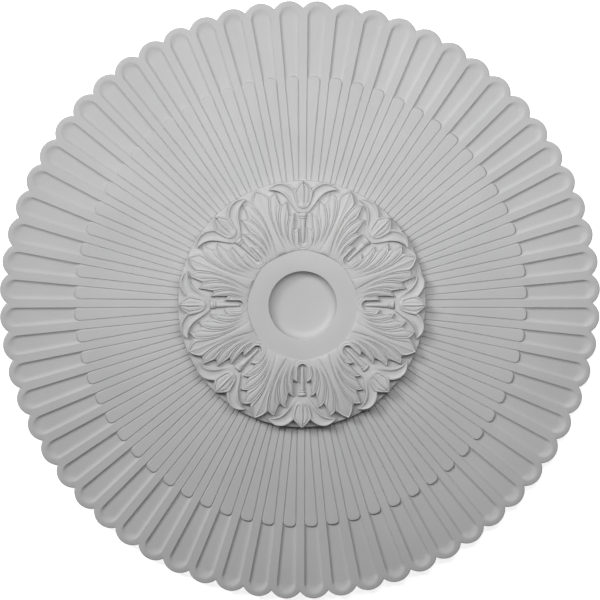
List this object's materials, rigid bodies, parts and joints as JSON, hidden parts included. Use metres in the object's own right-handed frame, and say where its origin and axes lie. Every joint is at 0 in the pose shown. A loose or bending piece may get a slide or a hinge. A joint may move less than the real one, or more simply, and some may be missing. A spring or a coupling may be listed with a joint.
{
  "type": "ceiling rose",
  "caption": "Round moulded ceiling rose: scalloped sunburst of flutes, raised boss of acanthus leaves and tulip buds, and a flat ring around a blind recess for a light fitting.",
  "frame": {"origin": "centre of the flat back, on the rose's axis", "axes": "+Z out of the carved face along the axis, away from the ceiling it is fixed to; +X along a fillet between two flutes and through a bud. In use the rose is turned over, so that +Z points down into the room."},
  "size_m": [0.9188, 0.9188, 0.0495],
  "materials": {
    "primed_moulding": "matt factory primer on rigid polyurethane foam, pale neutral grey"
  },
  "bodies": {
    "root": {"ceiling_rose": "primed_moulding"}
  },
  "joints": []
}
